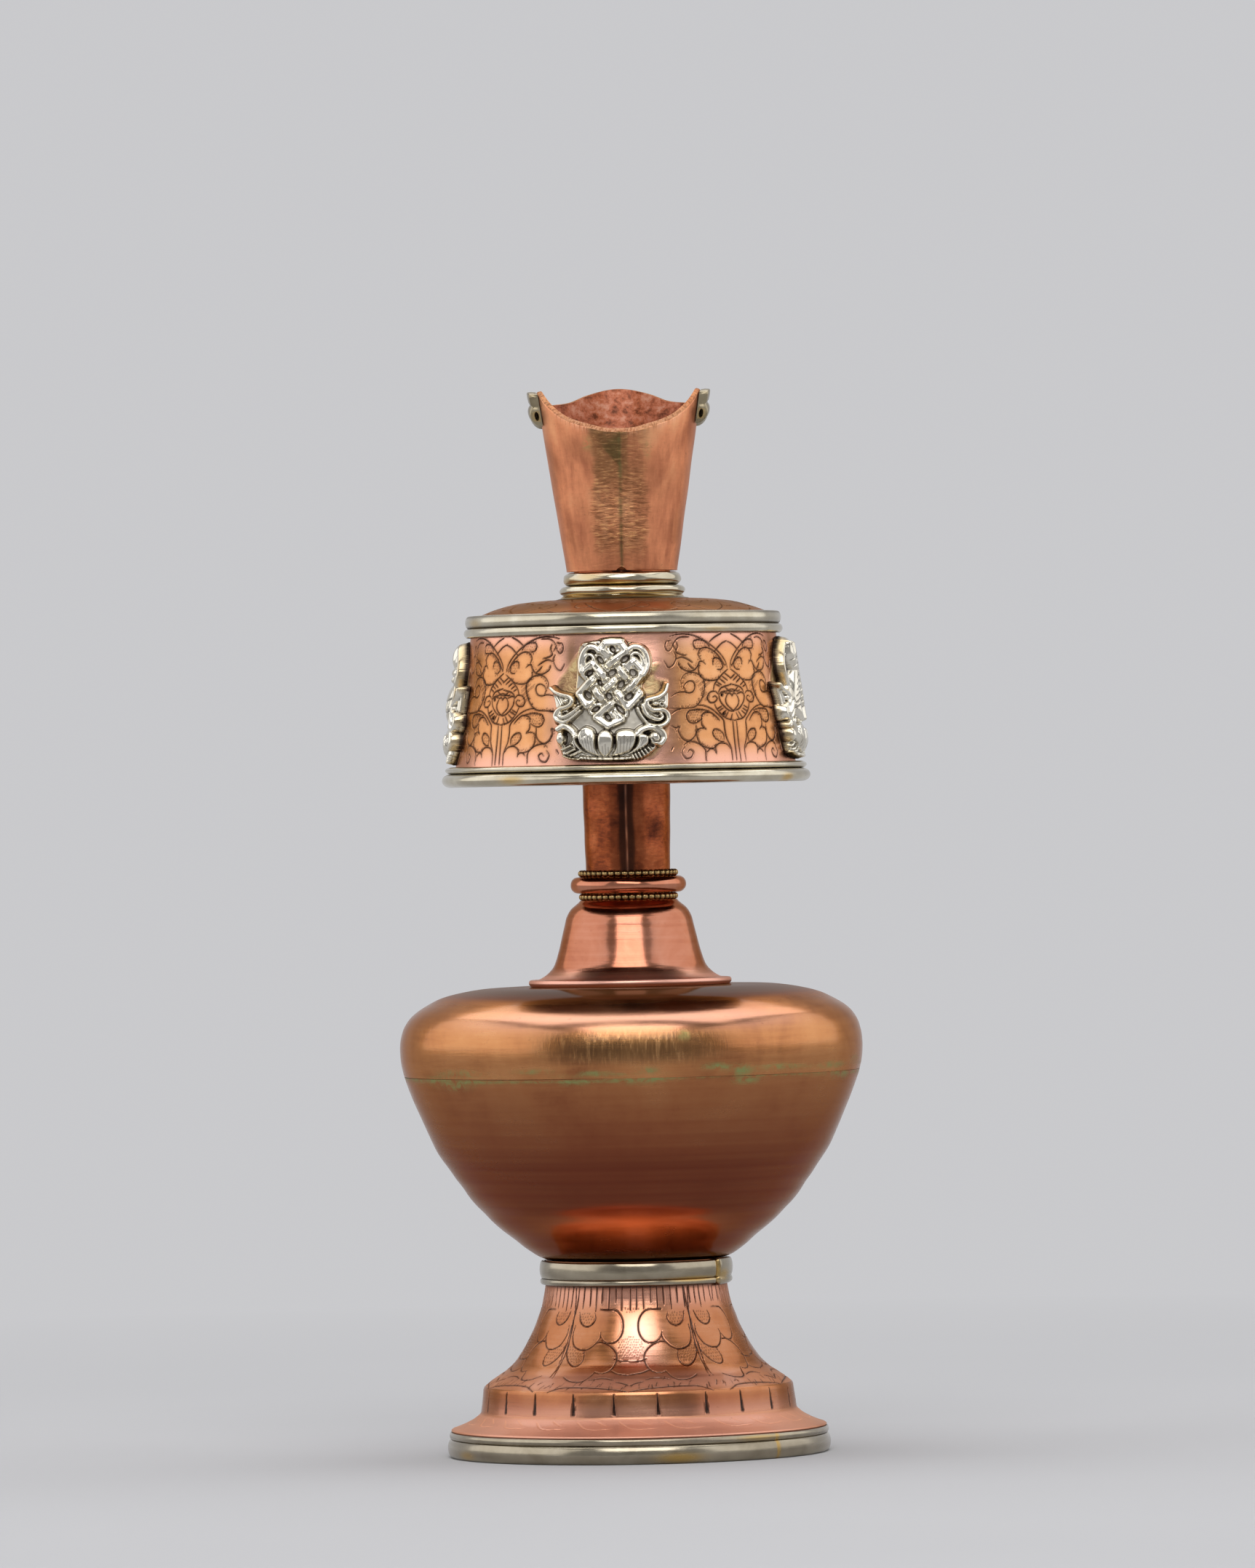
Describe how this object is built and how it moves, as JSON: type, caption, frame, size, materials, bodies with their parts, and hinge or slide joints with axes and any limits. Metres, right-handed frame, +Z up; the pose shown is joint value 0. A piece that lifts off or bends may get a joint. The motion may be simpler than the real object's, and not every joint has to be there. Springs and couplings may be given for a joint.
{
  "type": "bumpa vase",
  "caption": "Free-standing ritual water vase of sheet copper with a flared foot, broad belly, narrow neck under an emblem-bearing drum, and a lugged mouth cup, all soldered in one stack.",
  "frame": {"origin": "centre of the foot's resting ring, on the table", "axes": "+Z up along the axis of the vase; the lip and the knot emblem face -Y"},
  "size_m": [0.087, 0.087, 0.2005],
  "materials": {
    "white_metal_band": "bright nickel silver mouldings, scratched, with brassy solder smears",
    "white_metal_cast": "cast nickel silver, polished on its high places and dark in its hollows",
    "engraved_copper": "satin copper sheet with engraved lotus scrolls darkened in the cuts",
    "belly_copper": "brown-gold tarnished copper, finely scratched",
    "turned_copper": "turned copper with fine lathe lines and blotchy tarnish",
    "cup_copper": "satin copper sheet with upright scratches and a brown seam",
    "beaded_brass": "beaded brass wire, dark between the beads"
  },
  "bodies": {
    "root": {"foot_rim_band": "white_metal_band", "foot_shell": "engraved_copper", "waist_band": "white_metal_band", "bowl_lower": "belly_copper", "shoulder_upper": "belly_copper", "neck_cone": "turned_copper", "lower_beaded_wire": "beaded_brass", "neck_ring": "turned_copper", "upper_beaded_wire": "beaded_brass", "neck_tube": "turned_copper", "drum_wall": "engraved_copper", "drum_lid": "engraved_copper", "drum_foot_band": "white_metal_band", "drum_top_band": "white_metal_band", "lower_collar": "white_metal_band", "upper_collar": "white_metal_band", "mouth_cup": "cup_copper", "left_mouth_lug": "white_metal_cast", "right_mouth_lug": "white_metal_cast", "front_knot_emblem": "white_metal_cast", "right_fish_emblem": "white_metal_cast", "back_wheel_emblem": "white_metal_cast", "left_vase_emblem": "white_metal_cast"}
  },
  "joints": []
}
